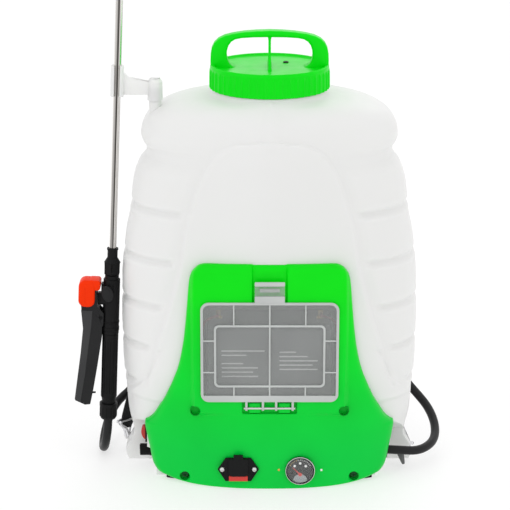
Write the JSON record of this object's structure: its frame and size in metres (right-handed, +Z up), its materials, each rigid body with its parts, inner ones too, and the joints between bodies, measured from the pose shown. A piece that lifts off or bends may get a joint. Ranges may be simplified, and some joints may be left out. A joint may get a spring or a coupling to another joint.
{
  "type": "battery backpack sprayer",
  "caption": "Battery-powered knapsack sprayer with a ribbed tank, screw lid with handle, clip-on lance, trigger valve, battery door and padded shoulder straps.",
  "frame": {"origin": "on the ground under the middle of the base plate", "axes": "+Z up, -Y towards the battery door, +Y towards the wearer's back, +X to the right seen from the door side"},
  "size_m": [0.461, 0.2863, 0.8934],
  "materials": {
    "tank_hdpe": "translucent natural white blow-moulded polyethylene, satin",
    "white_plastic": "white moulded plastic",
    "green_plastic": "bright green injection-moulded plastic, semi-gloss",
    "seal_rubber": "black moulded rubber",
    "screw_steel": "zinc plated steel",
    "window_plastic": "frosted translucent plastic",
    "battery_case": "grey battery case",
    "brass": "machined brass",
    "black_plastic": "black moulded plastic, fine texture",
    "red_plastic": "red moulded plastic",
    "dial_face": "printed dial",
    "dial_lens": "clear lens",
    "motor_steel": "plated motor can",
    "clear_tube": "translucent silicone tube",
    "lead_insulation": "PVC insulated leads",
    "hose_rubber": "black reinforced hose, satin",
    "pad_fabric": "black woven polyester over foam",
    "webbing_fabric": "black polypropylene webbing",
    "chrome_wire": "bright plated wire",
    "lever_plastic": "dark grey glass-filled plastic",
    "orange_plastic": "orange-red moulded plastic, semi-gloss",
    "stainless": "polished stainless tube"
  },
  "bodies": {
    "root": {"tank": "tank_hdpe", "tank_neck": "tank_hdpe", "strainer_basket": "white_plastic", "base_cover": "green_plastic", "front_screws": "screw_steel", "door_hinge_pin": "screw_steel", "battery": "battery_case", "battery_terminals": "brass", "charge_socket": "black_plastic", "socket_insert": "red_plastic", "gauge_case": "black_plastic", "gauge_dial": "dial_face", "gauge_lens": "dial_lens", "rocker_housing": "black_plastic", "speed_control": "black_plastic", "base_plate": "black_plastic", "pump_motor": "motor_steel", "pump_housing": "black_plastic", "pump_head": "black_plastic", "pump_mounts": "seal_rubber", "pump_screws": "screw_steel", "pressure_switch": "black_plastic", "tank_outlet": "black_plastic", "suction_hose": "clear_tube", "delivery_hose": "clear_tube", "outlet_connector": "black_plastic", "outlet_nut": "black_plastic", "wiring": "lead_insulation", "spray_hose": "hose_rubber", "lance_clip": "white_plastic", "back_pad": "pad_fabric", "strap_anchors": "tank_hdpe", "shoulder_pad_left": "pad_fabric", "shoulder_pad_right": "pad_fabric", "webbing": "webbing_fabric", "strap_buckles": "black_plastic", "strap_hooks": "chrome_wire", "hose_nut": "black_plastic", "handle_grip": "black_plastic", "handle_body": "black_plastic", "trigger_pin": "black_plastic", "valve_spring": "screw_steel", "lance_nut": "black_plastic", "lance_tube": "stainless", "nozzle_elbow": "black_plastic", "nozzle_seal": "seal_rubber"},
    "lid_riser": {"lid_seal": "seal_rubber"},
    "lid": {"lid": "green_plastic", "vent_valve": "seal_rubber"},
    "battery_door": {"battery_door": "window_plastic"},
    "door_latch": {"door_latch": "window_plastic"},
    "socket_flap": {"socket_flap": "black_plastic"},
    "gauge_needle": {"gauge_needle": "red_plastic"},
    "rocker_switch": {"rocker_switch": "red_plastic"},
    "speed_knob": {"speed_knob": "black_plastic"},
    "pump_shaft": {"pump_shaft": "screw_steel"},
    "trigger_lever": {"trigger_lever": "lever_plastic"},
    "lock_knob": {"lock_knob": "orange_plastic"},
    "valve_rod": {"valve_rod": "brass"},
    "nozzle_cap": {"nozzle_cap": "black_plastic"}
  },
  "joints": [
    {"name": "lid_turn", "type": "hinge", "parent": "lid_riser", "child": "lid", "pos_m": [0, 0, 0.49], "axis": [0, 0, 1], "range_deg": [0, 720]},
    {"name": "lid_lift", "type": "slide", "parent": "root", "child": "lid_riser", "axis": [0, 0, 1], "range_m": [0, 0.0123]},
    {"name": "battery_door_swing", "type": "hinge", "parent": "root", "child": "battery_door", "pos_m": [0, -0.11, 0.105], "axis": [1, 0, 0], "range_deg": [0, 105]},
    {"name": "door_latch_flex", "type": "hinge", "parent": "battery_door", "child": "door_latch", "pos_m": [0, -0.112, 0.241], "axis": [1, 0, 0], "range_deg": [0, 12], "stiffness_Nm_per_rad": 0.4, "springref_deg": -2.86},
    {"name": "socket_flap_swing", "type": "hinge", "parent": "root", "child": "socket_flap", "pos_m": [-0.038, -0.1134, 0.043], "axis": [-1, 0, 0], "range_deg": [0, 110]},
    {"name": "gauge_needle_swing", "type": "hinge", "parent": "root", "child": "gauge_needle", "pos_m": [0.0375, -0.1122, 0.0195], "axis": [0, 1, 0], "range_deg": [0, 90], "stiffness_Nm_per_rad": 0.0005},
    {"name": "rocker_tilt", "type": "hinge", "parent": "root", "child": "rocker_switch", "pos_m": [-0.1495, -0.045, 0.05], "axis": [0, 1, 0], "range_deg": [0, 16]},
    {"name": "speed_knob_turn", "type": "hinge", "parent": "root", "child": "speed_knob", "pos_m": [-0.15, -0.036, 0.022], "axis": [1, 0, 0], "range_deg": [0, 270]},
    {"name": "pump_spin", "type": "hinge", "parent": "root", "child": "pump_shaft", "pos_m": [0, -0.015, 0.042], "axis": [1, 0, 0], "continuous": true},
    {"name": "trigger_squeeze", "type": "hinge", "parent": "root", "child": "trigger_lever", "pos_m": [-0.20843, -0.02, 0.19321], "axis": [0, -1, 0], "range_deg": [0, 3.6], "stiffness_Nm_per_rad": 4, "springref_deg": -8.59},
    {"name": "lock_slide", "type": "slide", "parent": "trigger_lever", "child": "lock_knob", "axis": [-0.0457, 0, -0.999], "range_m": [0, 0.004]},
    {"name": "valve_slide", "type": "slide", "parent": "root", "child": "valve_rod", "axis": [-0.0457, 0, -0.999], "range_m": [0, 0.002], "deforming": ["valve_spring"]},
    {"name": "nozzle_turn", "type": "hinge", "parent": "root", "child": "nozzle_cap", "pos_m": [-0.16576, -0.02, 0.86316], "axis": [0.035, -0.6428, 0.7652], "continuous": true}
  ],
  "couplings": [
    {"joint": "lid_lift", "follows": "lid_turn", "m_per_rad": 0.00095493},
    {"joint": "valve_slide", "follows": "trigger_squeeze", "m_per_rad": 0.03}
  ]
}
